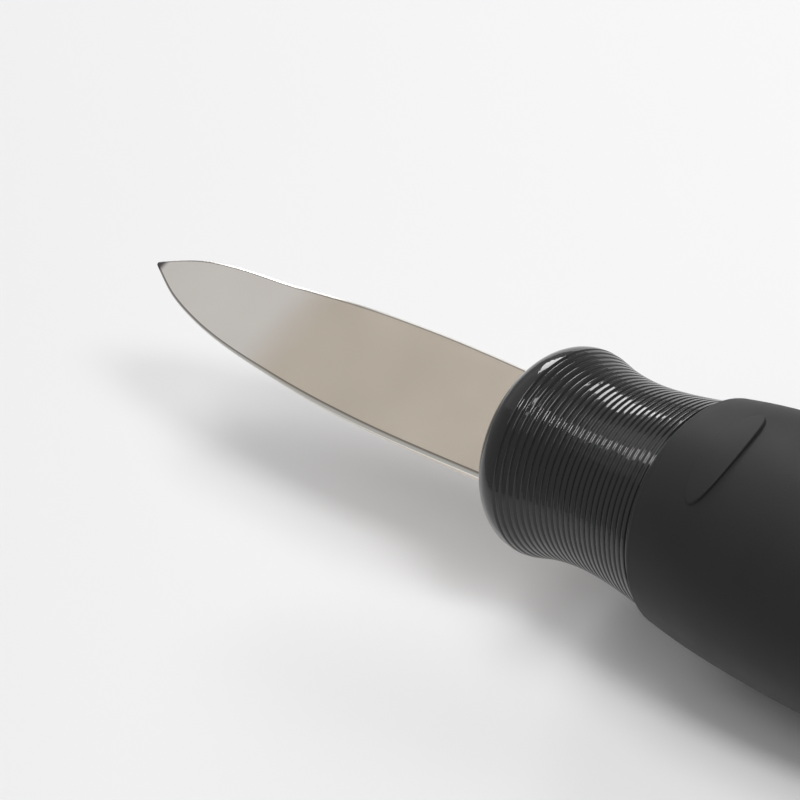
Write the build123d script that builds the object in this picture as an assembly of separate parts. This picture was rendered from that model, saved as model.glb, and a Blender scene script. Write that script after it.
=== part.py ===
from build123d import *
import math
import os

# Oyster knife, in millimetres. +X points to the blade's tip, +Z up, blade level.
# The origin is under the middle of the knife, on the surface that it lies on.
# The photograph shows the blade, the collar and the front half of the grip.

# Lengths along the knife
blade_reach = 72.0
collar_length = 28.8
grip_length = 89.2
overall_length = blade_reach + collar_length + grip_length

# Grip: round at its lip, oval at the belly, flatter toward the butt
lip_radius = 15.5
lip_round = 0.9
belly_half_width = 18.6
belly_half_height = 16.8
belly_back = 38.0
level_back = 10.0
rest_flat_depth = 0.15
grip_wall = 4.0
tail_height_share = 0.45
front_plan_power = 2.3
front_side_power = 2.0
tail_plan_power = 2.2
tail_side_power = 5.0
flatten_power = 1.3

# Blade and tang, one plate
blade_half_width = 9.0
blade_thickness = 1.6
top_bevel = 0.3
under_bevel = 0.45
bend_back = 21.6
bend_height = 2.7
tang_half_width = 6.0
tang_end_room = 17.2

# Collar: bull nose, waist with fine grooves, spigot under the grip
flange_radius = 14.4
nose_radius = 4.7
waist_radius = 13.0
rear_radius = 14.8
rear_slope = 0.19
groove_count = 24
groove_pitch = 0.991
first_groove_back = 5.28
groove_round = 0.3
groove_depth = 0.27
nose_wall = 7.0
spigot_length = 5.0
spigot_wall = 1.2

# Hard core, pins and their fits
neck_radius = 10.5
core_end_wall = 7.5
pin_radius = 1.5
pin_half_length = 9.0
pin_front_room = 9.2
pin_rear_room = 6.8
pin_names = ("tang_pin_front", "tang_pin_middle", "tang_pin_rear")
fit_gap = 0.05
skin_gap = 0.1
overrun = 5.0

# Raised oval pad on top of the grip, flush at its front edge and flatter than the skin across the knife
pad_length = 15.6
pad_width = 5.2
pad_back = 11.5
pad_rise = 0.4
pad_spread = 2.2

# Hanging hole through the tail, flared at both mouths
hole_radius = 4.5
hole_to_butt = 14.3
hole_wall = 9.0
flare_radius = 2.5
flare_degrees = 50.0

# Places that follow from the sizes above
tip_x = overall_length / 2
collar_front_x = tip_x - blade_reach
collar_back_x = collar_front_x - collar_length
core_front_x = collar_front_x - nose_wall
butt_x = collar_back_x - grip_length
hole_x = butt_x + hole_to_butt
core_end_x = hole_x + hole_radius + core_end_wall
core_length = collar_back_x - core_end_x
tang_end_x = core_end_x + tang_end_room
front_pin_x = core_front_x - pin_front_room
rear_pin_x = tang_end_x + pin_rear_room
bend_x = tip_x - bend_back
axis_z = belly_half_height - rest_flat_depth
bore_radius = neck_radius + fit_gap
spigot_radius = bore_radius + spigot_wall

# Half-width of the blade as a share of its widest, from the collar (place 0) to the tip (place 1)
edge_shares = (
    (0.000, 0.969), (0.066, 0.978), (0.147, 0.990), (0.228, 0.999), (0.310, 1.000), (0.391, 0.987),
    (0.472, 0.955), (0.544, 0.909), (0.615, 0.850), (0.676, 0.792), (0.726, 0.739), (0.767, 0.694),
    (0.808, 0.640), (0.848, 0.570), (0.889, 0.476), (0.925, 0.365), (0.950, 0.262), (0.975, 0.148),
    (1.000, 0.030),
)
# Waist of the collar: place from its crest to its rear, and share of the rise beside the waist
waist_shares = ((0.114, 0.607), (0.239, 0.195), (0.384, 0.0), (0.612, 0.160))
# Where sections are taken along the grip, closer together at its rounded end
section_shares = (0.0, 0.04, 0.09, 0.16, 0.26, 0.38, 0.50, 0.62, 0.74, 0.84, 0.91, 0.96, 0.99)
core_section_count = 7
pad_section_count = 5
halving_count = 40


def even_places(first, last, count):
    return [first + (last - first) * number / (count - 1) for number in range(count)]


def across(x):
    """Plane square to the knife's axis, its own X across the knife and its Y up."""
    return Plane(origin=(x, 0, axis_z), x_dir=(0, 1, 0), z_dir=(1, 0, 0))


def bar(radius, front_x, back_x):
    """Round bar on the knife's axis between two places."""
    return across(back_x) * extrude(Circle(radius), amount=front_x - back_x)


def block(front_x, back_x, half_width, low_z, high_z):
    """Box centred across the knife."""
    middle = ((front_x + back_x) / 2, 0, (low_z + high_z) / 2)
    return Pos(*middle) * Box(front_x - back_x, 2 * half_width, high_z - low_z)


def upright(radius, x, half_height):
    """Vertical round bar through the knife's axis."""
    return Pos(x, 0, axis_z) * Cylinder(radius, 2 * half_height)


def bend_rise(x):
    """Height of the plate's middle over the knife's axis: level, then a gentle double curve up to the tip."""
    share = min(max((x - bend_x) / bend_back, 0), 1)
    return bend_height * share ** 2 * (3 - 2 * share)


def blade_section(place, width_share):
    """Slice of the plate, bevelled above and below along both edges."""
    x = collar_front_x + place * blade_reach
    half_width = blade_half_width * width_share
    top = bend_rise(x) + blade_thickness / 2
    under = top - blade_thickness
    top_cut = min(top_bevel, half_width / 2)
    under_cut = min(under_bevel, half_width / 2)
    near_side = [
        (half_width - under_cut, under),
        (half_width, under + under_cut),
        (half_width, top - top_cut),
        (half_width - top_cut, top),
    ]
    far_side = [(-across_y, up) for across_y, up in reversed(near_side)]
    return across(x) * make_face(Polyline(*near_side, *far_side, close=True))


def pin_places():
    return even_places(front_pin_x, rear_pin_x, len(pin_names))


def make_blade():
    """Bare blade, its base in the collar's slot, and the tang with its pin holes."""
    leaf = loft([blade_section(*shares) for shares in edge_shares])
    half = blade_thickness / 2
    base_half_width = blade_half_width * edge_shares[0][1]
    base = block(collar_front_x, core_front_x, base_half_width, axis_z - half, axis_z + half)
    tang = block(core_front_x, tang_end_x, tang_half_width, axis_z - half, axis_z + half)
    plate = leaf + base + tang
    for x in pin_places():
        plate -= upright(pin_radius + fit_gap, x, blade_thickness)
    return plate


def collar_outline():
    """Nose and waist of the collar, as a wire of distance along and radius."""
    crest_x = collar_front_x - nose_radius
    nose_low = flange_radius - nose_radius
    slant = nose_radius * math.sqrt(0.5)
    nose = ThreePointArc(
        (collar_front_x, nose_low),
        (crest_x + slant, nose_low + slant),
        (crest_x, flange_radius),
    )
    through = [(crest_x, flange_radius)]
    side_radii = (flange_radius, flange_radius, waist_radius, rear_radius)
    for (place, rise), side_radius in zip(waist_shares, side_radii):
        x = crest_x + place * (collar_back_x - crest_x)
        through.append((x, waist_radius + rise * (side_radius - waist_radius)))
    through.append((collar_back_x, rear_radius))
    return nose, Spline(*through, tangents=((-1, 0), (-1, rear_slope)))


def point_at(curve, x):
    """Point of a curve that runs steadily along -X, at one place."""
    low, high = 0.0, 1.0
    for _ in range(halving_count):
        middle = (low + high) / 2
        if curve.position_at(middle).X > x:
            low = middle
        else:
            high = middle
    return curve.position_at(low)


def make_collar():
    """Ring of hard plastic, turned about the knife's axis, with a slot for the blade."""
    nose, waist = collar_outline()
    spigot_back_x = collar_back_x - spigot_length
    inside = Polyline(
        (collar_back_x, rear_radius),
        (collar_back_x, spigot_radius),
        (spigot_back_x, spigot_radius),
        (spigot_back_x, bore_radius),
        (core_front_x, bore_radius),
        (core_front_x, 0),
        (collar_front_x, 0),
        (collar_front_x, flange_radius - nose_radius),
    )
    profile = make_face(nose + waist + inside)
    for number in range(groove_count):
        x = collar_front_x - first_groove_back - number * groove_pitch
        centre_radius = point_at(waist, x).Y + groove_round - groove_depth
        profile -= Pos(x, centre_radius) * Circle(groove_round)
    side_view = Plane(origin=(0, 0, axis_z), x_dir=(1, 0, 0), z_dir=(0, -1, 0))
    knife_axis = Axis((0, 0, axis_z), (1, 0, 0))
    ring = revolve(side_view * profile, axis=knife_axis)
    slot_half_width = blade_half_width * edge_shares[0][1] + fit_gap
    slot_half_height = blade_thickness / 2 + fit_gap
    front_x = collar_front_x + overrun
    back_x = core_front_x - nose_wall
    return ring - block(front_x, back_x, slot_half_width, axis_z - slot_half_height, axis_z + slot_half_height)


def grip_half_sizes(back):
    """Half-width and half-height of the grip, some way behind its front face."""
    if back <= belly_back:
        width_rise = (1 - back / belly_back) ** front_plan_power
        height_rise = max(0.0, 1 - back / level_back) ** front_side_power
        half_width = belly_half_width - (belly_half_width - lip_radius) * width_rise
        half_height = belly_half_height - (belly_half_height - lip_radius) * height_rise
        return half_width, half_height
    fall = (back - belly_back) / (grip_length - belly_back)
    round_plan = math.sqrt(1 - fall ** tail_plan_power)
    round_side = math.sqrt(1 - fall ** tail_side_power)
    flatten = 1 - (1 - tail_height_share) * fall ** flatten_power
    return belly_half_width * round_plan, belly_half_height * round_side * flatten


def grip_sections(backs, inset_at):
    """Oval slices of the grip, each drawn in by inset_at(back)."""
    sections = []
    for back in backs:
        half_width, half_height = grip_half_sizes(back)
        inset = inset_at(back)
        oval = Ellipse(half_width - inset, half_height - inset)
        sections.append(across(collar_back_x - back) * oval)
    return sections


def core_body(growth):
    """Oval part of the hard core; growth makes the hollow that it fits in."""
    backs = even_places(spigot_length + skin_gap - growth, core_length + growth, core_section_count)
    return loft(grip_sections(backs, lambda back: grip_wall - growth))


def make_core_half(upper):
    """Half of the hard core: neck in the collar, body in the grip, bed for the tang."""
    body_front_x = collar_back_x - spigot_length - skin_gap
    core = core_body(0) + bar(neck_radius, core_front_x, body_front_x - overrun)
    low_z = axis_z if upper else axis_z - belly_half_height
    half = core & block(tip_x, -tip_x, belly_half_width, low_z, low_z + belly_half_height)
    bed_half_height = blade_thickness / 2 + fit_gap
    bed_half_width = tang_half_width + fit_gap
    bed_back_x = tang_end_x - fit_gap
    half -= block(
        core_front_x + overrun, bed_back_x, bed_half_width,
        axis_z - bed_half_height, axis_z + bed_half_height,
    )
    for x in pin_places():
        half -= upright(pin_radius + fit_gap, x, pin_half_length + fit_gap)
    return half


def make_pin(x):
    return upright(pin_radius, x, pin_half_length)


def make_pad():
    """Oval pad that rises from flush at its front edge to full height at its rear edge."""
    sections = []
    for back in even_places(pad_back - 2 * pad_width, pad_back + pad_width, pad_section_count):
        share = (back - pad_back) / pad_width + 1
        half_width, half_height = grip_half_sizes(back)
        oval = Ellipse(half_width + pad_spread * share, half_height + pad_rise * share)
        sections.append(across(collar_back_x - back) * oval)
    centre_x = collar_back_x - pad_back + pad_width / 2
    outline = Ellipse(pad_width / 2, pad_length / 2)
    column = Pos(centre_x, 0, axis_z + neck_radius) * extrude(outline, amount=belly_half_height)
    return loft(sections) & column


def hole_cutter():
    """Round hole whose mouths flare outward, turned about an upright axis."""
    turn = math.radians(flare_degrees)

    def flare_point(angle):
        radius = hole_radius + flare_radius * (1 - math.cos(angle))
        return (radius, hole_wall / 2 + flare_radius * math.sin(angle))

    start, end = flare_point(0), flare_point(turn)
    reach = belly_half_height - end[1]
    mouth = (end[0] + reach * math.tan(turn), belly_half_height)
    upper = make_face(
        Polyline((0, 0), (hole_radius, 0), start)
        + ThreePointArc(start, flare_point(turn / 2), end)
        + Polyline(end, mouth, (0, belly_half_height), (0, 0))
    )
    side_view = Plane(origin=(0, 0, 0), x_dir=(1, 0, 0), z_dir=(0, -1, 0))
    upper_cut = revolve(side_view * upper, axis=Axis.Z)
    return Pos(hole_x, 0, axis_z) * (upper_cut + mirror(upper_cut, Plane.XY))


def make_grip():
    """Soft sleeve round the core, closed at the butt, with a narrow flat under its belly."""
    butt = Vertex(butt_x, 0, axis_z)
    backs = [share * grip_length for share in section_shares]
    outside = loft(grip_sections(backs, lambda back: 0) + [butt])
    front_rim = outside.edges().sort_by(Axis.X)[-1]
    outside = fillet(front_rim, lip_round)
    outside -= block(tip_x, -tip_x, belly_half_width, -rest_flat_depth - overrun, 0)
    hollow = core_body(skin_gap)
    spigot_bore = bar(spigot_radius + skin_gap, collar_back_x + overrun, collar_back_x - spigot_length - skin_gap)
    return outside + make_pad() - hollow - spigot_bore - hole_cutter()


def build_parts():
    parts = {
        "blade": make_blade(),
        "collar": make_collar(),
        "core_upper": make_core_half(True),
        "core_lower": make_core_half(False),
        "grip": make_grip(),
    }
    for name, x in zip(pin_names, pin_places()):
        parts[name] = make_pin(x)
    return parts


if __name__ == "__main__":
    os.makedirs("parts", exist_ok=True)
    for name, shape in build_parts().items():
        export_step(shape, f"parts/{name}.step")
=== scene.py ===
import math

import bmesh
import bpy
import numpy as np
from mathutils import Matrix, Vector


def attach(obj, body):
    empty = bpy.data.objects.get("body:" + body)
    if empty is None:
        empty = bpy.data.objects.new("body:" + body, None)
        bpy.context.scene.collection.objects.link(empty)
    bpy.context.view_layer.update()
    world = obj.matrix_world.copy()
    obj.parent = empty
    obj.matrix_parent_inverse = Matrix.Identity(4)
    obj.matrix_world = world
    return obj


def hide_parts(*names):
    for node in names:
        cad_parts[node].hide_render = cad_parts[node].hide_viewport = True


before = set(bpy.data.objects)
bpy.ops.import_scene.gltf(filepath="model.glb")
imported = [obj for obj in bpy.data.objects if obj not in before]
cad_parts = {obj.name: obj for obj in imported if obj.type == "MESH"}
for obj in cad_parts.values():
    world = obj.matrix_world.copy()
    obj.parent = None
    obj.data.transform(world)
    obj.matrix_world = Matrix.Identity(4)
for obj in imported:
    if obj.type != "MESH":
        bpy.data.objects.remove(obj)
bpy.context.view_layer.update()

# Shapes are worked out in millimetres, as in the part's source, and scaled once when a mesh is made.
millimetre = 0.001
merge_distance = 1e-7

# Lengths along the knife: blade, collar and grip, tip at +X
blade_reach = 72.0
collar_length = 28.8
grip_length = 89.2

# Grip: round at its lip, oval at the belly, flatter toward the butt
lip_radius = 15.5
lip_round = 0.9
belly_half_width = 18.6
belly_half_height = 16.8
belly_back = 38.0
level_back = 10.0
rest_flat_depth = 0.15
grip_wall = 4.0
tail_height_share = 0.45
front_plan_power = 2.3
front_side_power = 2.0
tail_plan_power = 2.2
tail_side_power = 5.0
flatten_power = 1.3

# Blade and tang
blade_half_width = 9.0
blade_thickness = 1.6
bend_back = 21.6
bend_height = 2.7
tang_half_width = 6.0
tang_end_room = 17.2

# Collar
flange_radius = 14.4
nose_radius = 4.7
waist_radius = 13.0
rear_radius = 14.8
rear_slope = 0.19
groove_count = 24
groove_pitch = 0.991
first_groove_back = 5.28
groove_half_width = 0.26
groove_depth = 0.27
nose_wall = 7.0
spigot_length = 5.0
spigot_wall = 1.2
slot_squareness = 0.12

# Core and its fits
neck_radius = 10.5
core_end_wall = 7.5
fit_gap = 0.05
skin_gap = 0.1

# Raised oval pad on top of the grip, flush at its front edge and flatter than the skin across the knife
pad_length = 15.6
pad_width = 5.2
pad_back = 11.5
pad_rise = 0.4
pad_spread = 2.2
# Wall of the pad: way in from its rim, and share of its height reached there
pad_wall = ((0.02, 0.30), (0.04, 0.65), (0.07, 0.88), (0.12, 0.98), (0.20, 1.0))

# Hanging hole
hole_radius = 4.5
hole_to_butt = 14.3
hole_wall = 9.0
flare_radius = 2.5
flare_degrees = 50.0

# Places that follow from the sizes above
tip_x = (blade_reach + collar_length + grip_length) / 2
collar_front_x = tip_x - blade_reach
collar_back_x = collar_front_x - collar_length
core_front_x = collar_front_x - nose_wall
butt_x = collar_back_x - grip_length
hole_x = butt_x + hole_to_butt
core_end_x = hole_x + hole_radius + core_end_wall
core_length = collar_back_x - core_end_x
tang_end_x = core_end_x + tang_end_room
bend_x = tip_x - bend_back
crest_x = collar_front_x - nose_radius
first_groove_x = collar_front_x - first_groove_back
axis_z = belly_half_height - rest_flat_depth
bore_radius = neck_radius + fit_gap
spigot_radius = bore_radius + spigot_wall

# Half-width of the blade as a share of its widest, from the collar (place 0) to the tip (place 1)
edge_shares = (
    (0.000, 0.969), (0.066, 0.978), (0.147, 0.990), (0.228, 0.999), (0.310, 1.000), (0.391, 0.987),
    (0.472, 0.955), (0.544, 0.909), (0.615, 0.850), (0.676, 0.792), (0.726, 0.739), (0.767, 0.694),
    (0.808, 0.640), (0.848, 0.570), (0.889, 0.476), (0.925, 0.365), (0.950, 0.262), (0.975, 0.148),
    (1.000, 0.030),
)
# Edge of the blade from collar to tip: place, width and drop of the upper bevel, and height of the rim
bevel_table = (
    (0.00, 0.46, 0.37, 0.98),
    (0.25, 0.48, 0.37, 0.50),
    (0.42, 0.52, 0.38, 0.36),
    (0.50, 0.47, 0.30, 0.30),
    (0.57, 0.42, 0.215, 0.25),
    (0.62, 0.41, 0.165, 0.23),
    (0.72, 0.34, 0.135, 0.20),
    (0.82, 0.25, 0.105, 0.17),
    (1.00, 0.20, 0.11, 0.15),
)
# Lower bevel: its width for each millimetre that it rises, and the least width
lower_bevel_slope = 2.4
least_lower_bevel = 0.1
# Crease between the flat and the upper bevel
crease_width = 0.17
# Most that the bevels take of the blade's half-width, and the crease of the flat's, near the tip
upper_bevel_share = 0.5
lower_bevel_share = 0.6
crease_share = 0.5

# Waist of the collar: place from its crest to its rear, and share of the rise beside the waist
waist_shares = ((0.114, 0.607), (0.239, 0.195), (0.384, 0.0), (0.612, 0.160))

# Painted shade on the blade: how far the crease's painted shade reaches to each side in crease widths, how
# much of the rim is still shaded, and the places between which the painted shade on the tip comes in
crease_mark_reach = 0.5
rim_mark_share = 0.4
tip_mark_start = 0.978
tip_mark_full = 0.989

# Fineness of the blade's surface: rows in each half, and places of the points across flat, bevel and rim
blade_rows_each = 90
close_rows_from = 0.7
flat_shares = (0.0, 0.25, 0.5, 0.75, 0.9, 0.96, 1.0)
bevel_shares = (0.2, 0.5, 0.8, 1.0)
rim_shares = (0.5, 1.0)
underside_columns = 7
blade_sharp_degrees = 8

# Fineness of the collar's surface, and the distances from a groove's middle at which it has rows
collar_columns = 232
nose_rows = 28
groove_offsets = (0.0, 0.05, 0.1, 0.15, 0.2, 0.26, 0.34)
plain_rows = 5
slot_digits = 12
collar_sharp_degrees = 50

# Fineness of the grip's surface, with the end of each stretch of skin before the tail and its rows
grip_columns = 240
inner_rows = 24
lip_rows = 9
skin_rows = ((2.0, 4), (15.0, 40), (belly_back, 30))
tail_rows = 90
grip_sharp_degrees = 40

# Window in the skin round the pad: columns to each side, margin before and behind, and the rows that fill it
pad_window_columns = 30
pad_window_margin = 2.2
pad_skirt_rows = 14
pad_skirt_power = 0.7
pad_top_rows = 12

# Windows in the skin round the hanging hole's two mouths, and the rows that fill them
hole_window_columns = 34
hole_window_before = 16.5
hole_window_behind = 9.0
hole_skirt_rows = 16
flare_rows = 12
mouth_fit_rounds = 20

# Colours of the surfaces
steel_tone = (0.575, 0.508, 0.425)
steel_tone_cloud = (0.605, 0.540, 0.460)
steel_tone_grain = (0.590, 0.525, 0.442)
# Painted reflection: lighter, cooler steel toward the bent tip
painted_reflection_tip_tone = (0.700, 0.665, 0.625)
# Painted highlight on the bevels
painted_highlight_bevel_tone = (0.90, 0.89, 0.84)
# Painted shade in the creases beside the bevels and on the ground tip
painted_shade_edge_tone = (0.10, 0.09, 0.095)
pin_tone = (0.52, 0.52, 0.53)
pin_tone_grain = (0.60, 0.60, 0.60)
collar_tone = (0.009, 0.009, 0.009)
collar_tone_grain = (0.013, 0.013, 0.013)
rubber_tone = (0.0140, 0.0140, 0.0145)
rubber_tone_cloud = (0.0175, 0.0175, 0.0180)
rubber_tone_grain = (0.016, 0.016, 0.016)
core_tone = (0.030, 0.031, 0.033)
core_tone_grain = (0.045, 0.046, 0.048)
floor_tone = (0.905, 0.902, 0.908)
floor_tone_cloud = (0.915, 0.912, 0.918)

# Where the painted reflection toward the tip comes in: from this far before the bend to this far past it
painted_reflection_before_bend = 8.0
painted_reflection_past_bend = 2.0

# Stretch of a grain: even, or drawn out along X or Z
even = (1.0, 1.0, 1.0)
drawn_along_x = (0.05, 1.0, 1.0)
drawn_along_z = (1.0, 1.0, 0.05)

# Floor, half its side in metres. The knife rocks back on its belly until the blade clears the floor, as in
# the photograph, so the floor falls away toward the tip. The belly touches it some way behind the collar.
floor_half = 1.5
floor_fall_degrees = 4.5
touch_back = 40.6

# Brightness of the studio walls as the camera sees them, as a mirror shows them, and as they light the floor
world_seen = 1.0
world_mirrored = 0.40
world_lit = 0.20

# Lights: name, azimuth, elevation, distance, width, height and power, in degrees, metres and watts
lights = (
    ("overhead_softbox", 335, 79, 1.2, 0.50, 0.50, 5.0),
    ("front_softbox", 205, 75, 1.2, 0.50, 0.50, 1.9),
    ("side_softbox", 271, 52, 1.2, 0.16, 0.30, 3.7),
    ("low_softbox", 42, 25, 1.2, 0.40, 0.40, 4.0),
    ("back_panel", 62, 42, 2.0, 2.0, 2.0, 3.2),
)

# Camera at the photograph's view, in degrees and metres, with its lens and sensor in millimetres
camera_azimuth = 240.065
camera_elevation = 43.657
camera_roll = -26.487
camera_distance = 0.59327
camera_look = (0.046326, 0.002714, 0.01665)
camera_lens = 198.28
camera_near = 0.01
sensor_width = 36.0


def spline_through(table, at, end_slopes=None):
    """Cubic between each two points of a table, with matching slopes and bends where they meet. Its ends
    have the given slopes, or no bend."""
    places, values = np.array(table, float).T
    gaps = np.diff(places)
    rises = np.diff(values) / gaps
    inner = np.arange(1, len(places) - 1)
    system = np.eye(len(places))
    system[inner, inner - 1] = gaps[:-1]
    system[inner, inner] = 2 * (gaps[:-1] + gaps[1:])
    system[inner, inner + 1] = gaps[1:]
    target = np.zeros(len(places))
    target[inner] = 6 * np.diff(rises)
    if end_slopes:
        system[0, :2] = 2 * gaps[0], gaps[0]
        system[-1, -2:] = gaps[-1], 2 * gaps[-1]
        target[0] = 6 * (rises[0] - end_slopes[0])
        target[-1] = 6 * (end_slopes[1] - rises[-1])
    bends = np.linalg.solve(system, target)
    at = np.asarray(at, float)
    span = np.clip(np.searchsorted(places, at, side="right") - 1, 0, len(places) - 2)
    gap = gaps[span]
    left = at - places[span]
    right = places[span + 1] - at
    curved = (bends[span] * right ** 3 + bends[span + 1] * left ** 3) / (6 * gap)
    low = (values[span] / gap - bends[span] * gap / 6) * right
    high = (values[span + 1] / gap - bends[span + 1] * gap / 6) * left
    return curved + low + high


def new_piece(name, sheets, material, node, sharp_degrees):
    """Mesh from sheets of points, each an array of rows x columns x 3 whose neighbours are joined by
    four-sided faces. Shared borders and poles are merged, and faces turned outward."""
    points = np.concatenate([sheet.reshape(-1, 3) for sheet in sheets]) * millimetre
    faces = []
    first = 0
    for sheet in sheets:
        rows, columns = sheet.shape[:2]
        number = first + np.arange(rows * columns).reshape(rows, columns)
        corners = (number[:-1, :-1], number[1:, :-1], number[1:, 1:], number[:-1, 1:])
        faces.append(np.stack([corner.ravel() for corner in corners], axis=1))
        first += rows * columns
    mesh = bpy.data.meshes.new(name)
    mesh.from_pydata(points.tolist(), [], np.concatenate(faces).tolist())
    shell = bmesh.new()
    shell.from_mesh(mesh)
    bmesh.ops.remove_doubles(shell, verts=shell.verts, dist=merge_distance)
    bmesh.ops.dissolve_degenerate(shell, edges=shell.edges, dist=merge_distance)
    bmesh.ops.recalc_face_normals(shell, faces=shell.faces)
    shell.to_mesh(mesh)
    shell.free()
    mesh.shade_smooth()
    mesh.set_sharp_from_angle(angle=math.radians(sharp_degrees))
    mesh.materials.append(material)
    piece = bpy.data.objects.new(name, mesh)
    bpy.context.scene.collection.objects.link(piece)
    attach(piece, "root")
    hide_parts(node)
    return piece


def full_turn(columns):
    """Angles round a full turn, the first repeated at the end so that the sheet closes."""
    return np.linspace(0, 2 * math.pi, columns + 1)


def grip_half_sizes(back):
    """Half-width and half-height of the grip, some way behind its front face, as arrays."""
    back = np.asarray(back, float)
    front = np.clip(1 - back / belly_back, 0, 1)
    level = np.clip(1 - back / level_back, 0, 1)
    front_width = belly_half_width - (belly_half_width - lip_radius) * front ** front_plan_power
    front_height = belly_half_height - (belly_half_height - lip_radius) * level ** front_side_power
    fall = np.clip((back - belly_back) / (grip_length - belly_back), 0, 1)
    round_plan = np.sqrt(1 - fall ** tail_plan_power)
    round_side = np.sqrt(1 - fall ** tail_side_power)
    flatten = 1 - (1 - tail_height_share) * fall ** flatten_power
    behind = back > belly_back
    half_width = np.where(behind, belly_half_width * round_plan, front_width)
    half_height = np.where(behind, belly_half_height * round_side * flatten, front_height)
    return half_width, half_height


def oval_rows(x, half_width, half_height, angles):
    """Ovals across the knife, one for each x, whose lower halves are no taller than the axis is high."""
    sizes = (x, half_width, half_height)
    x, half_width, half_height = (np.asarray(size, float)[:, None] for size in sizes)
    low_height = np.minimum(half_height, axis_z)
    sine = np.sin(angles)[None, :]
    across = half_width * np.cos(angles)[None, :]
    up = axis_z + np.where(sine > 0, half_height, low_height) * sine
    return np.stack([np.broadcast_to(x, across.shape), across, up], axis=2)


def skin_height(x, y, top):
    """Height of the grip's skin over a place in plan, on its upper or its lower side, from its ovals."""
    half_width, half_height = grip_half_sizes(collar_back_x - x)
    share = np.sqrt(np.clip(1 - (y / half_width) ** 2, 0, 1))
    if top:
        return axis_z + half_height * share
    return axis_z - np.minimum(half_height, axis_z) * share


def window_border(sheet, rows, columns):
    """Points round a window left in a sheet, in order, closed."""
    top, bottom = rows
    left, right = columns
    return np.concatenate([
        sheet[top, left:right],
        sheet[top:bottom, right],
        sheet[bottom, right:left:-1],
        sheet[bottom:top:-1, left],
        sheet[top, left][None, :],
    ])


def without_windows(sheet, windows):
    """The sheet cut into smaller sheets that leave the windows open: bands before, beside and after each."""
    rest = []
    start = 0
    for rows, spans in windows:
        rest.append(sheet[start:rows[0] + 1])
        edge = 0
        for left, right in spans:
            rest.append(sheet[rows[0]:rows[1] + 1, edge:left + 1])
            edge = right
        rest.append(sheet[rows[0]:rows[1] + 1, edge:])
        start = rows[1]
    rest.append(sheet[start:])
    return rest


def pad_height(x, y):
    """Height of the pad's top over a place in plan: the skin's own oval, made wider and taller by a share
    that runs from nothing at the pad's front edge to all at its rear edge."""
    back = collar_back_x - x
    share = np.clip((back - pad_back) / pad_width + 1, 0, 1)
    half_width, half_height = grip_half_sizes(back)
    level = np.sqrt(1 - (y / (half_width + pad_spread * share)) ** 2)
    return axis_z + (half_height + pad_rise * share) * level


def pad_sheet(border):
    """Skin from a window's border in to the pad's oval rim, then its wall and its top in to the middle."""
    centre_x = collar_back_x - pad_back + pad_width / 2
    half_x = pad_width / 2
    half_y = pad_length / 2
    turn = np.arctan2((border[:, 0] - centre_x) / half_x, border[:, 1] / half_y)
    rim_x = centre_x + half_x * np.sin(turn)
    rim_y = half_y * np.cos(turn)
    rows = [border]
    for share in np.linspace(0, 1, pad_skirt_rows)[1:] ** pad_skirt_power:
        x = border[:, 0] + share * (rim_x - border[:, 0])
        y = border[:, 1] + share * (rim_y - border[:, 1])
        rows.append(np.stack([x, y, skin_height(x, y, True)], axis=1))
    last_inward = pad_wall[-1][0]
    inner = [(1 - inward / half_x, half_y - inward, risen) for inward, risen in pad_wall]
    for share in np.linspace(1, 0, pad_top_rows)[1:]:
        inner.append(((1 - last_inward / half_x) * share, (half_y - last_inward) * share, 1.0))
    for scale, reach, risen in inner:
        x = centre_x + half_x * scale * np.sin(turn)
        y = reach * np.cos(turn)
        skin = skin_height(x, y, True)
        rows.append(np.stack([x, y, skin + risen * (pad_height(x, y) - skin)], axis=1))
    return np.stack(rows)


def hole_sheet(border, top):
    """Skin from a window's border in to the flared mouth, then down the flare and the bore to its middle."""
    turn = np.arctan2(border[:, 0] - hole_x, border[:, 1])
    flare = np.radians(np.linspace(flare_degrees, 0, flare_rows))
    sign = 1 if top else -1

    # The straight flank from the end of the flare's arc reaches the skin at the radius where heights meet.
    end_radius = hole_radius + flare_radius * (1 - math.cos(flare[0]))
    end_height = hole_wall / 2 + flare_radius * math.sin(flare[0])
    radius = np.full(turn.shape, end_radius)
    for _ in range(mouth_fit_rounds):
        height = skin_height(hole_x + radius * np.sin(turn), radius * np.cos(turn), top)
        over = sign * (height - axis_z) - end_height
        radius = end_radius + np.maximum(over, 0) * math.tan(flare[0])
    rows = [border]
    for share in np.linspace(0, 1, hole_skirt_rows)[1:]:
        reach_x = (border[:, 0] - hole_x) * (1 - share) + radius * np.sin(turn) * share
        reach_y = border[:, 1] * (1 - share) + radius * np.cos(turn) * share
        x = hole_x + reach_x
        rows.append(np.stack([x, reach_y, skin_height(x, reach_y, top)], axis=1))
    rings = []
    for angle in flare:
        ring = hole_radius + flare_radius * (1 - math.cos(angle))
        rings.append((ring, axis_z + sign * (hole_wall / 2 + flare_radius * math.sin(angle))))
    rings.append((hole_radius, axis_z))
    for ring, up in rings:
        around = [hole_x + ring * np.sin(turn), ring * np.cos(turn), np.full(turn.shape, up)]
        rows.append(np.stack(around, axis=1))
    return np.stack(rows)


def grip_inside(angles):
    """Inner wall from its closed end forward, then the spigot's bore up to the front face, as two sheets."""
    backs = np.linspace(core_length + skin_gap, spigot_length, inner_rows)
    half_width, half_height = grip_half_sizes(backs)
    inset = grip_wall - skin_gap
    bore = spigot_radius + skin_gap
    x = collar_back_x - backs
    pole = oval_rows(x[:1], [0.0], [0.0], angles)
    wall = oval_rows(x, half_width - inset, half_height - inset, angles)
    rim = oval_rows([x[-1], collar_back_x], [bore, bore], [bore, bore], angles)
    return [np.concatenate([pole, wall]), np.concatenate([wall[-1:], rim])]


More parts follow.
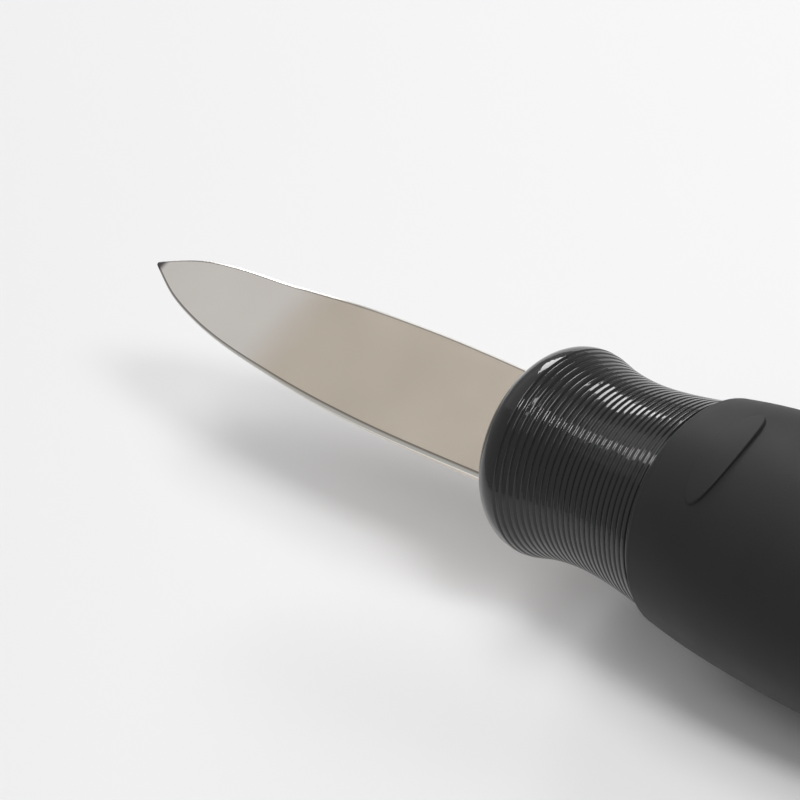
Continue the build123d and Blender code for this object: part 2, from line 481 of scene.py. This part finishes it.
def grip_outside(angles):
    """Rounded lip and skin, with closer rows round the pad and toward the butt, and how far back each is."""
    turn = np.linspace(math.pi / 2, 0, lip_rows)
    lip_backs = lip_round * (1 - np.sin(turn))
    half_width, half_height = grip_half_sizes(np.full(turn.shape, lip_round))
    drawn_in = lip_round * (1 - np.cos(turn))
    lip = oval_rows(collar_back_x - lip_backs, half_width - drawn_in, half_height - drawn_in, angles)

    stretches = []
    start = lip_round
    for end, count in skin_rows:
        stretches.append(np.linspace(start, end, count)[1:])
        start = end
    tail_share = 1 - np.linspace(1, 0, tail_rows)[1:] ** 2
    stretches.append(belly_back + (grip_length - belly_back) * tail_share)
    skin_backs = np.concatenate(stretches)
    half_width, half_height = grip_half_sizes(skin_backs)
    skin = oval_rows(collar_back_x - skin_backs, half_width, half_height, angles)
    return np.concatenate([lip, skin]), np.concatenate([lip_backs, skin_backs])


def make_grip(material):
    """Sleeve of one closed surface, with the pad and the two mouths of the hanging hole let into its skin."""
    angles = full_turn(grip_columns)
    inside = grip_inside(angles)
    outside, backs = grip_outside(angles)
    front_face = np.concatenate([inside[-1][-1:], outside[:1]])

    hole_back = collar_back_x - hole_x
    pad_ends = (pad_back - pad_width - pad_window_margin, pad_back + pad_window_margin)
    hole_ends = (hole_back - hole_window_before, hole_back + hole_window_behind)
    pad_window = np.searchsorted(backs, pad_ends)
    hole_window = np.searchsorted(backs, hole_ends)
    top_column = grip_columns // 4
    under_column = 3 * top_column
    pad_span = (top_column - pad_window_columns, top_column + pad_window_columns)
    hole_span = (top_column - hole_window_columns, top_column + hole_window_columns)
    under_span = (under_column - hole_window_columns, under_column + hole_window_columns)

    sheets = [*inside, front_face]
    sheets += without_windows(outside, [(pad_window, [pad_span]), (hole_window, [hole_span, under_span])])
    sheets.append(pad_sheet(window_border(outside, pad_window, pad_span)))
    sheets.append(hole_sheet(window_border(outside, hole_window, hole_span), True))
    sheets.append(hole_sheet(window_border(outside, hole_window, under_span), False))
    return new_piece("grip_sleeve", sheets, material, "grip", grip_sharp_degrees)


def collar_radius(x):
    """Smooth waist from the flange's crest to the rear, less a rounded groove at every pitch."""
    table = [(0.0, flange_radius)]
    side_radii = (flange_radius, flange_radius, waist_radius, rear_radius)
    for (place, rise), side_radius in zip(waist_shares, side_radii):
        table.append((place, waist_radius + rise * (side_radius - waist_radius)))
    table.append((1.0, rear_radius))
    length = crest_x - collar_back_x
    smooth = spline_through(table, (crest_x - x) / length, (0.0, rear_slope * length))
    number = np.clip(np.round((first_groove_x - x) / groove_pitch), 0, groove_count - 1)
    away = np.abs(x - (first_groove_x - number * groove_pitch))
    dip = np.where(away < groove_half_width, 0.5 + 0.5 * np.cos(math.pi * away / groove_half_width), 0)
    return smooth - groove_depth * dip


def round_rows(profile, angles):
    """Profile of (x, radius) pairs turned about the knife's axis."""
    x, radius = np.array(profile, float).T
    across = radius[:, None] * np.cos(angles)[None, :]
    up = axis_z + radius[:, None] * np.sin(angles)[None, :]
    return np.stack([np.broadcast_to(x[:, None], across.shape), across, up], axis=2)


def slot_row(x, angles):
    """Slot's outline: an oval whose cosine and sine are raised to a small power, so nearly square. They are
    rounded first, because the power would blow up the last angle's tiny error and open the seam."""
    half_width = blade_half_width * edge_shares[0][1] + fit_gap
    half_height = blade_thickness / 2 + fit_gap
    cosine, sine = np.cos(angles).round(slot_digits), np.sin(angles).round(slot_digits)
    across = half_width * np.sign(cosine) * np.abs(cosine) ** slot_squareness
    up = axis_z + half_height * np.sign(sine) * np.abs(sine) ** slot_squareness
    return np.stack([np.full(angles.shape, x), across, up], axis=1)


def make_collar(material):
    """Ring of one closed surface: nose, rings, spigot, bore, and the blade's slot through the nose's wall."""
    angles = full_turn(collar_columns)
    turn = np.linspace(0, math.pi / 2, nose_rows)
    nose_xs = crest_x + nose_radius * np.sin(turn)
    nose = list(zip(nose_xs, flange_radius - nose_radius * (1 - np.cos(turn))))

    # Rows in and beside every groove, half-way between the grooves, and in the plain stretches at both ends
    offsets = np.array(groove_offsets)
    around = np.concatenate([-offsets[:0:-1], offsets])
    groove_xs = first_groove_x - groove_pitch * np.arange(groove_count)
    in_grooves = (groove_xs[:, None] - around[None, :]).ravel()
    between = first_groove_x - groove_pitch * (np.arange(groove_count - 1) + 0.5)
    before = np.linspace(crest_x, groove_xs[0] + offsets[-1], plain_rows)[1:-1]
    after = np.linspace(groove_xs[-1] - offsets[-1], collar_back_x, plain_rows)[1:]
    xs = np.sort(np.concatenate([before, in_grooves, between, after]))[::-1]
    waist = list(zip(xs, collar_radius(xs)))

    spigot_back_x = collar_back_x - spigot_length
    inside = [
        (collar_back_x, spigot_radius),
        (spigot_back_x, spigot_radius),
        (spigot_back_x, bore_radius),
        (core_front_x, bore_radius),
    ]
    rows = round_rows(nose[::-1] + waist + inside, angles)
    slot = np.stack([slot_row(core_front_x, angles), slot_row(collar_front_x, angles)])
    sheets = [np.concatenate([rows, slot, rows[:1]])]
    return new_piece("ringed_collar", sheets, material, "collar", collar_sharp_degrees)


def bend_rise(x):
    """Height of the plate's middle over the knife's axis: level, then a gentle double curve up to the tip."""
    share = np.clip((x - bend_x) / bend_back, 0, 1)
    return bend_height * share ** 2 * (3 - 2 * share)


def bevel_at(places):
    """Half-width of the blade, and width, drop and rim of its bevel, at each place."""
    table = np.array(bevel_table)
    half_width = blade_half_width * spline_through(edge_shares, places)
    wide, drop, rim = (np.interp(places, table[:, 0], table[:, column]) for column in (1, 2, 3))
    return half_width, np.minimum(wide, half_width * upper_bevel_share), drop, rim


def blade_rows(places):
    """Closed outline of the plate at each place: flat top, crease, bevel, rim, lower bevel, flat bottom."""
    x = collar_front_x + places * blade_reach
    half_width, wide, drop, rim = bevel_at(places)
    top = axis_z + bend_rise(x) + blade_thickness / 2
    under = top - blade_thickness
    ground = (blade_thickness - drop - rim) * lower_bevel_slope
    flat = half_width - wide
    flat_under = half_width - np.clip(ground, least_lower_bevel, half_width * lower_bevel_share)
    inside = flat - np.minimum(crease_width, flat * crease_share)
    points = [(inside * share, top) for share in flat_shares]
    points += [(flat, top)]
    points += [(flat + wide * share, top - drop * share) for share in bevel_shares]
    points += [(half_width, top - drop - rim * share) for share in rim_shares]
    points += [(flat_under * share, under) for share in np.linspace(1, 0, underside_columns)]
    across = np.stack([point[0] for point in points], axis=1)
    up = np.stack([point[1] for point in points], axis=1)
    across = np.concatenate([across, -across[:, -2::-1]], axis=1)
    up = np.concatenate([up, up[:, -2::-1]], axis=1)
    return np.stack([np.broadcast_to(x[:, None], across.shape), across, up], axis=2)


def mark_edges(piece):
    """Attributes for the ground surfaces' painted marks: edge_shade, painted shade, is 1 on the crease
    between the flat and its bevels and on the ground tip; the other, a painted highlight, is 1 on the bevels;
    both are 0 elsewhere."""
    points = np.empty(3 * len(piece.data.vertices))
    piece.data.vertices.foreach_get("co", points)
    x, y, z = points.reshape(-1, 3).T / millimetre
    places = np.clip((x - collar_front_x) / blade_reach, 0, 1)
    half_width, wide, drop, rim = bevel_at(places)
    top = axis_z + bend_rise(x) + blade_thickness / 2
    on_top = z > top - drop - rim * rim_mark_share
    outward = (np.abs(y) - (half_width - wide)) / crease_width
    crease = np.clip(1 - np.abs(outward) / crease_mark_reach, 0, 1) * on_top
    tip = np.clip((places - tip_mark_start) / (tip_mark_full - tip_mark_start), 0, 1)
    bevel = np.clip(outward - crease_mark_reach, 0, 1) * on_top
    for name, value in (("edge_shade", np.maximum(crease, tip)), ("painted_bevel_highlight", bevel)):
        layer = piece.data.attributes.new(name, "FLOAT", "POINT")
        layer.data.foreach_set("value", value)


def make_blade(material):
    """Plate of one closed surface: the leaf with its bevels, the step inside the collar, and the tang."""
    near_places = np.linspace(0, close_rows_from, blade_rows_each)[:-1]
    leaf = blade_rows(np.concatenate([near_places, np.linspace(close_rows_from, 1, blade_rows_each)]))
    tip = np.broadcast_to(leaf[-1].mean(axis=0), leaf[-1].shape)[None]
    base = leaf[:1].copy()
    base[:, :, 0] = core_front_x
    step = base.copy()
    step[:, :, 1] = np.clip(step[:, :, 1], -tang_half_width, tang_half_width)
    end = step.copy()
    end[:, :, 0] = tang_end_x
    cap = end.copy()
    cap[:, :, 1] = 0
    cap[:, :, 2] = axis_z
    sheets = [np.concatenate([cap, end, step, base, leaf, tip])]
    piece = new_piece("blade_plate", sheets, material, "blade", blade_sharp_degrees)
    mark_edges(piece)
    return piece


def add_node(tree, kind, inputs, **settings):
    """Node with its settings, whose inputs are given as values or as sockets to link from."""
    node = tree.nodes.new(kind)
    for name, value in settings.items():
        setattr(node, name, value)
    for name, value in inputs.items():
        if isinstance(value, bpy.types.NodeSocket):
            tree.links.new(value, node.inputs[name])
        else:
            node.inputs[name].default_value = value
    return node


def make_grain():
    """Node group: noise on Object coordinates, of a given scale and stretch, as a mask and as a value that
    runs from Low to High."""
    group = bpy.data.node_groups.new("grain", "ShaderNodeTree")
    for name, kind in (("Scale", "Float"), ("Stretch", "Vector"), ("Low", "Float"), ("High", "Float")):
        group.interface.new_socket(name, in_out="INPUT", socket_type="NodeSocket" + kind)
    for name in ("Mask", "Level"):
        group.interface.new_socket(name, in_out="OUTPUT", socket_type="NodeSocketFloat")
    given = group.nodes.new("NodeGroupInput").outputs
    place = add_node(group, "ShaderNodeTexCoord", {}).outputs["Object"]
    stretched = add_node(group, "ShaderNodeVectorMath", {0: place, 1: given["Stretch"]}, operation="MULTIPLY")
    noise = add_node(group, "ShaderNodeTexNoise", {
        "Vector": stretched.outputs["Vector"], "Scale": given["Scale"], "Detail": 3.0, "Roughness": 0.55,
    })
    mask = add_node(group, "ShaderNodeMapRange", {
        "Value": noise.outputs["Fac"], "From Min": 0.2, "From Max": 0.8,
    }, interpolation_type="SMOOTHSTEP")
    level = add_node(group, "ShaderNodeMapRange", {
        "Value": mask.outputs["Result"], "To Min": given["Low"], "To Max": given["High"],
    })
    put_out = group.nodes.new("NodeGroupOutput")
    group.links.new(mask.outputs["Result"], put_out.inputs["Mask"])
    group.links.new(level.outputs["Result"], put_out.inputs["Level"])
    return group


grain = make_grain()


def place_grain(tree, scale, low, high, stretch=even):
    """Outputs of one use of the grain: its mask, and its level from low to high."""
    node = tree.nodes.new("ShaderNodeGroup")
    node.node_tree = grain
    for name, value in (("Scale", scale), ("Stretch", stretch), ("Low", low), ("High", high)):
        node.inputs[name].default_value = value
    return node.outputs


def blank_material(name):
    """Material, its node tree and its shader."""
    material = bpy.data.materials.new(name)
    material.use_nodes = True
    tree = material.node_tree
    return material, tree, tree.nodes["Principled BSDF"]


def mixed(tree, share, first, second):
    """Colour from first to second by share."""
    node = add_node(tree, "ShaderNodeMix", {"Factor": share}, data_type="RGBA")
    for name, value in (("A", first), ("B", second)):
        socket = [item for item in node.inputs if item.name == name and item.type == "RGBA"][0]
        if isinstance(value, bpy.types.NodeSocket):
            tree.links.new(value, socket)
        else:
            socket.default_value = (*value, 1)
    return [item for item in node.outputs if item.type == "RGBA"][0]


def colour_surface(tree, shader, tone, roughness):
    """Colour and roughness of the shader, both from sockets."""
    tree.links.new(tone, shader.inputs["Base Color"])
    tree.links.new(roughness, shader.inputs["Roughness"])


def roughen(tree, shader, height, depth, strength):
    """Small relief of the shader from a height that changes over the surface, of a depth in metres."""
    bump = add_node(tree, "ShaderNodeBump", {"Height": height, "Distance": depth, "Strength": strength})
    tree.links.new(bump.outputs["Normal"], shader.inputs["Normal"])


def steel_material():
    """Polished plate: fine lengthwise grain and cloudy polish, a painted reflection that brightens it toward
    the tip, a painted highlight on the bevels, and painted shade in the creases beside the bevels and on the
    ground tip."""
    material, tree, shader = blank_material("polished_blade_steel")
    shader.inputs["Metallic"].default_value = 1.0
    cloud = place_grain(tree, scale=55, low=0.21, high=0.27)
    line = place_grain(tree, scale=1200, low=0.0, high=1.0, stretch=drawn_along_x)
    tone = mixed(tree, cloud["Mask"], steel_tone, steel_tone_cloud)
    tone = mixed(tree, line["Mask"], tone, steel_tone_grain)
    place = add_node(tree, "ShaderNodeTexCoord", {}).outputs["Object"]
    # Painted reflection: the steel is made lighter toward the bent tip
    painted_reflection_toward_tip = add_node(tree, "ShaderNodeMapRange", {
        "Value": add_node(tree, "ShaderNodeSeparateXYZ", {"Vector": place}).outputs["X"],
        "From Min": (bend_x - painted_reflection_before_bend) * millimetre,
        "From Max": (bend_x + painted_reflection_past_bend) * millimetre,
    }, interpolation_type="SMOOTHSTEP").outputs["Result"]
    tone = mixed(tree, painted_reflection_toward_tip, tone, painted_reflection_tip_tone)
    # Painted highlight on the bevels, then painted shade on the creases and the ground tip
    for name, marked_tone in (("painted_bevel_highlight", painted_highlight_bevel_tone), ("edge_shade", painted_shade_edge_tone)):
        mark = add_node(tree, "ShaderNodeAttribute", {}, attribute_name=name).outputs["Fac"]
        tone = mixed(tree, mark, tone, marked_tone)
    colour_surface(tree, shader, tone, cloud["Level"])
    roughen(tree, shader, line["Mask"], depth=0.000002, strength=0.1)
    return material


def pin_material():
    """Drawn steel pin: fine grain along its length and a little dullness."""
    material, tree, shader = blank_material("drawn_pin_steel")
    shader.inputs["Metallic"].default_value = 1.0
    line = place_grain(tree, scale=2500, low=0.30, high=0.42, stretch=drawn_along_z)
    colour_surface(tree, shader, mixed(tree, line["Mask"], pin_tone, pin_tone_grain), line["Level"])
    roughen(tree, shader, line["Mask"], depth=0.00001, strength=0.2)
    return material


def collar_material():
    """Glossy moulded plastic: black, with a slight ripple that breaks its highlights."""
    material, tree, shader = blank_material("glossy_collar_plastic")
    shader.inputs["IOR"].default_value = 1.5
    ripple = place_grain(tree, scale=420, low=0.05, high=0.10)
    fine = place_grain(tree, scale=3000, low=0.0, high=1.0)
    colour_surface(tree, shader, mixed(tree, fine["Mask"], collar_tone, collar_tone_grain), ripple["Level"])
    roughen(tree, shader, ripple["Mask"], depth=0.00006, strength=0.35)
    return material


def rubber_material():
    """Soft matte rubber: charcoal, fine even grain, faint cloudiness from handling."""
    material, tree, shader = blank_material("matte_grip_rubber")
    shader.inputs["Specular IOR Level"].default_value = 0.25
    cloud = place_grain(tree, scale=90, low=0.52, high=0.60)
    fine = place_grain(tree, scale=5000, low=0.0, high=1.0)
    tone = mixed(tree, cloud["Mask"], rubber_tone, rubber_tone_cloud)
    tone = mixed(tree, fine["Mask"], tone, rubber_tone_grain)
    colour_surface(tree, shader, tone, cloud["Level"])
    roughen(tree, shader, fine["Mask"], depth=0.00003, strength=0.2)
    return material


def core_material():
    """Hard moulded core: dark grey plastic with a spark-eroded grain."""
    material, tree, shader = blank_material("moulded_core_plastic")
    fine = place_grain(tree, scale=2200, low=0.38, high=0.50)
    colour_surface(tree, shader, mixed(tree, fine["Mask"], core_tone, core_tone_grain), fine["Level"])
    roughen(tree, shader, fine["Mask"], depth=0.00003, strength=0.3)
    return material


def floor_material():
    """Smooth white board, very slightly uneven in tone."""
    material, tree, shader = blank_material("white_board")
    cloud = place_grain(tree, scale=6, low=0.62, high=0.72)
    colour_surface(tree, shader, mixed(tree, cloud["Mask"], floor_tone, floor_tone_cloud), cloud["Level"])
    return material


def finish_nodes(nodes, material):
    """Material for CAD nodes that keep their own shapes."""
    for node in nodes:
        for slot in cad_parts[node].material_slots:
            slot.material = material


def make_floor():
    """Flat board that touches the belly's low point and falls away toward the tip."""
    touch_x = (collar_back_x - touch_back) * millimetre
    slope = math.tan(math.radians(floor_fall_degrees))
    corners = []
    for x, y in ((-1, -1), (1, -1), (1, 1), (-1, 1)):
        up = slope * (touch_x - x * floor_half)
        corners.append((x * floor_half, y * floor_half, up))
    mesh = bpy.data.meshes.new("floor")
    mesh.from_pydata(corners, [], [(0, 1, 2, 3)])
    mesh.materials.append(floor_material())
    floor = bpy.data.objects.new("floor", mesh)
    bpy.context.scene.collection.objects.link(floor)


def make_world():
    """Studio walls: white where the camera sees them, grey in a mirror, and nearly no light on the floor."""
    world = bpy.data.worlds.new("studio")
    world.use_nodes = True
    tree = world.node_tree
    rays = add_node(tree, "ShaderNodeLightPath", {}).outputs
    strength = add_node(tree, "ShaderNodeMapRange", {
        "Value": rays["Is Glossy Ray"], "To Min": world_lit, "To Max": world_mirrored,
    }).outputs["Result"]
    strength = add_node(tree, "ShaderNodeMapRange", {
        "Value": rays["Is Camera Ray"], "To Min": strength, "To Max": world_seen,
    }).outputs["Result"]
    background = tree.nodes["Background"]
    background.inputs["Color"].default_value = (1, 1, 1, 1)
    tree.links.new(strength, background.inputs["Strength"])
    bpy.context.scene.world = world


def toward(azimuth, elevation):
    """Direction from the knife to a place at an azimuth and elevation in degrees."""
    a, e = math.radians(azimuth), math.radians(elevation)
    return Vector((math.sin(a) * math.cos(e), -math.cos(a) * math.cos(e), math.sin(e)))


def area_light(name, azimuth, elevation, distance, width, height, power):
    """Soft light, upright as its height runs, that faces the middle of the knife."""
    direction = toward(azimuth, elevation)
    lamp = bpy.data.lights.new(name, "AREA")
    lamp.shape = "RECTANGLE"
    lamp.size = width
    lamp.size_y = height
    lamp.energy = power
    light = bpy.data.objects.new(name, lamp)
    light.location = direction * distance
    light.rotation_euler = direction.to_track_quat("Z", "Y").to_euler()
    bpy.context.scene.collection.objects.link(light)


def make_camera():
    """Camera that looks at the blade as the photograph does, turned about its line of sight."""
    direction = toward(camera_azimuth, camera_elevation)
    roll = Matrix.Rotation(math.radians(camera_roll), 3, "Z")
    turn = direction.to_track_quat("Z", "Y").to_matrix() @ roll
    view = bpy.data.cameras.new("photo_view")
    view.sensor_width = sensor_width
    view.lens = camera_lens
    view.clip_start = camera_near
    camera = bpy.data.objects.new("photo_view", view)
    place = Vector(camera_look) + direction * camera_distance
    camera.matrix_world = Matrix.Translation(place) @ turn.to_4x4()
    bpy.context.scene.collection.objects.link(camera)
    bpy.context.scene.camera = camera


make_blade(steel_material())
make_collar(collar_material())
make_grip(rubber_material())
finish_nodes(("core_upper", "core_lower"), core_material())
finish_nodes(("tang_pin_front", "tang_pin_middle", "tang_pin_rear"), pin_material())

make_floor()
make_world()
for light in lights:
    area_light(*light)
make_camera()
bpy.context.scene.view_settings.view_transform = "Standard"
